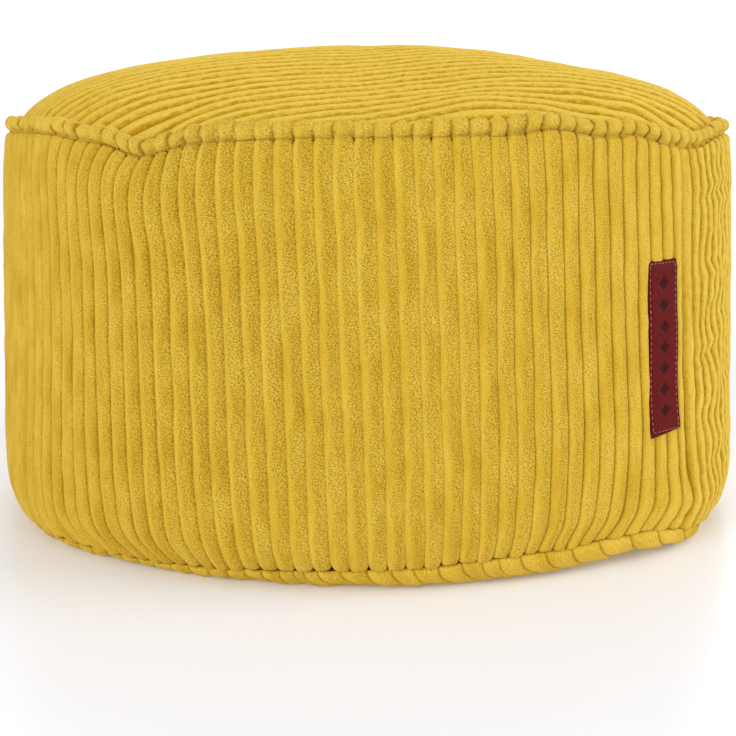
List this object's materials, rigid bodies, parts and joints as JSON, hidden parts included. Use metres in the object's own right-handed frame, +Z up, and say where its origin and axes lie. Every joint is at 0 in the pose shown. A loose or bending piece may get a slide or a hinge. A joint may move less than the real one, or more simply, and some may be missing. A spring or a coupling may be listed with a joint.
{
  "type": "bean bag footstool",
  "caption": "Low round bean bag footstool in wide-wale corduroy: upright band, crowned top panel with a rolled seam, flat bottom panel and a small sewn-on label.",
  "frame": {"origin": "centre of the footprint, on the surface that the footstool rests on", "axes": "+Z up through the crown, -Y towards the front, with the label on the front right, towards +X"},
  "size_m": [0.4509, 0.431, 0.2746],
  "materials": {
    "corduroy": "brushed mustard yellow cut pile with wales about 10 mm wide",
    "leatherette": "dark red, fine grained, stitched round its edge"
  },
  "bodies": {
    "root": {"side_band": "corduroy", "top_panel": "corduroy", "bottom_panel": "corduroy", "label": "leatherette"}
  },
  "joints": []
}
